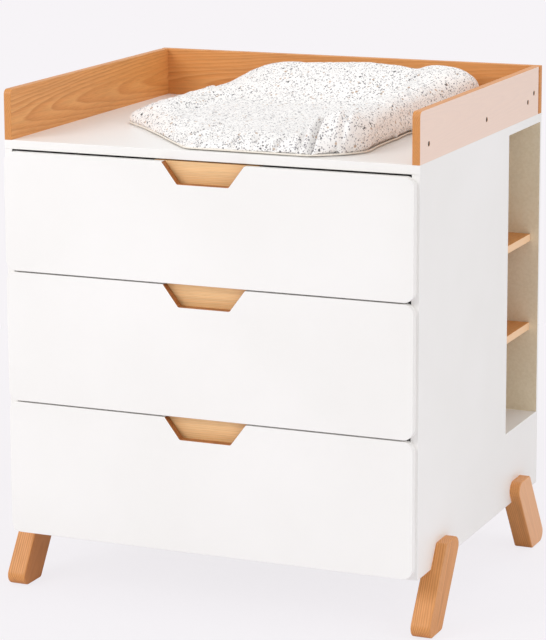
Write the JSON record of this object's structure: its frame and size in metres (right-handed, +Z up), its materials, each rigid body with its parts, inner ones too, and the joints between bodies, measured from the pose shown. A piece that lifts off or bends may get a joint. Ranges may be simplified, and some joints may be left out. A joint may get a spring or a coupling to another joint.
{
  "type": "changing dresser",
  "caption": "Baby's changing dresser on splayed wooden legs: lacquered case with drawers in front, open niches in the sides, a wooden guard round the top and a loose padded mat.",
  "frame": {"origin": "on the floor, under the middle of the whole piece's outline, mat and legs included", "axes": "+X to the right side, -Y out of the drawer fronts, +Z up"},
  "size_m": [0.914, 0.754, 1.022],
  "materials": {
    "white_lacquer": "white satin lacquer on board",
    "oiled_wood": "oiled oak, straight and cathedral grain",
    "drawer_board": "foil-wrapped drawer board",
    "drawer_hardboard": "faced hardboard",
    "dowel_beech": "plain beech",
    "runner_steel": "zinc-plated rolled steel",
    "zinc_fixings": "zinc fixings",
    "felt": "pressed felt",
    "mat_cotton": "printed cotton over foam, fine speckle"
  },
  "bodies": {
    "case": {"top_panel": "white_lacquer", "left_side_panel": "white_lacquer", "right_side_panel": "white_lacquer", "back_panel": "white_lacquer", "base_panel": "white_lacquer", "drawer_partition": "white_lacquer", "niche_divider": "white_lacquer", "left_niche_floor": "white_lacquer", "right_niche_floor": "white_lacquer", "left_lower_shelf": "oiled_wood", "left_upper_shelf": "oiled_wood", "right_lower_shelf": "oiled_wood", "right_upper_shelf": "oiled_wood", "left_guard": "oiled_wood", "right_guard": "oiled_wood", "back_guard": "oiled_wood", "front_left_leg": "oiled_wood", "front_right_leg": "oiled_wood", "rear_left_leg": "oiled_wood", "rear_right_leg": "oiled_wood", "case_dowels": "dowel_beech", "guard_cams": "zinc_fixings", "guard_cam_bolts": "zinc_fixings", "shelf_pins": "zinc_fixings", "leg_bolts": "zinc_fixings", "felt_glides": "felt", "top_case_runners": "runner_steel", "middle_case_runners": "runner_steel", "bottom_case_runners": "runner_steel"},
    "top_drawer": {"top_drawer_front": "white_lacquer", "top_drawer_pull": "oiled_wood", "top_drawer_left_side": "drawer_board", "top_drawer_right_side": "drawer_board", "top_drawer_back": "drawer_board", "top_drawer_bottom": "drawer_hardboard", "top_drawer_runners": "runner_steel"},
    "top_runner_middles": {"top_middle_runners": "runner_steel"},
    "middle_drawer": {"middle_drawer_front": "white_lacquer", "middle_drawer_pull": "oiled_wood", "middle_drawer_left_side": "drawer_board", "middle_drawer_right_side": "drawer_board", "middle_drawer_back": "drawer_board", "middle_drawer_bottom": "drawer_hardboard", "middle_drawer_runners": "runner_steel"},
    "middle_runner_middles": {"middle_middle_runners": "runner_steel"},
    "bottom_drawer": {"bottom_drawer_front": "white_lacquer", "bottom_drawer_pull": "oiled_wood", "bottom_drawer_left_side": "drawer_board", "bottom_drawer_right_side": "drawer_board", "bottom_drawer_back": "drawer_board", "bottom_drawer_bottom": "drawer_hardboard", "bottom_drawer_runners": "runner_steel"},
    "bottom_runner_middles": {"bottom_middle_runners": "runner_steel"},
    "mat": {"changing_mat": "mat_cotton"}
  },
  "joints": [
    {"name": "top_drawer_slide", "type": "slide", "parent": "case", "child": "top_drawer", "axis": [0, -1, 0], "range_m": [0, 0.4]},
    {"name": "top_runner_travel", "type": "slide", "parent": "case", "child": "top_runner_middles", "axis": [0, -1, 0], "range_m": [0, 0.2]},
    {"name": "middle_drawer_slide", "type": "slide", "parent": "case", "child": "middle_drawer", "axis": [0, -1, 0], "range_m": [0, 0.4]},
    {"name": "middle_runner_travel", "type": "slide", "parent": "case", "child": "middle_runner_middles", "axis": [0, -1, 0], "range_m": [0, 0.2]},
    {"name": "bottom_drawer_slide", "type": "slide", "parent": "case", "child": "bottom_drawer", "axis": [0, -1, 0], "range_m": [0, 0.4]},
    {"name": "bottom_runner_travel", "type": "slide", "parent": "case", "child": "bottom_runner_middles", "axis": [0, -1, 0], "range_m": [0, 0.2]},
    {"name": "mat_lift", "type": "slide", "parent": "case", "child": "mat", "axis": [0, 0, 1], "range_m": [0, 0.15]}
  ],
  "couplings": [
    {"joint": "top_runner_travel", "follows": "top_drawer_slide", "ratio": 0.5},
    {"joint": "middle_runner_travel", "follows": "middle_drawer_slide", "ratio": 0.5},
    {"joint": "bottom_runner_travel", "follows": "bottom_drawer_slide", "ratio": 0.5}
  ]
}
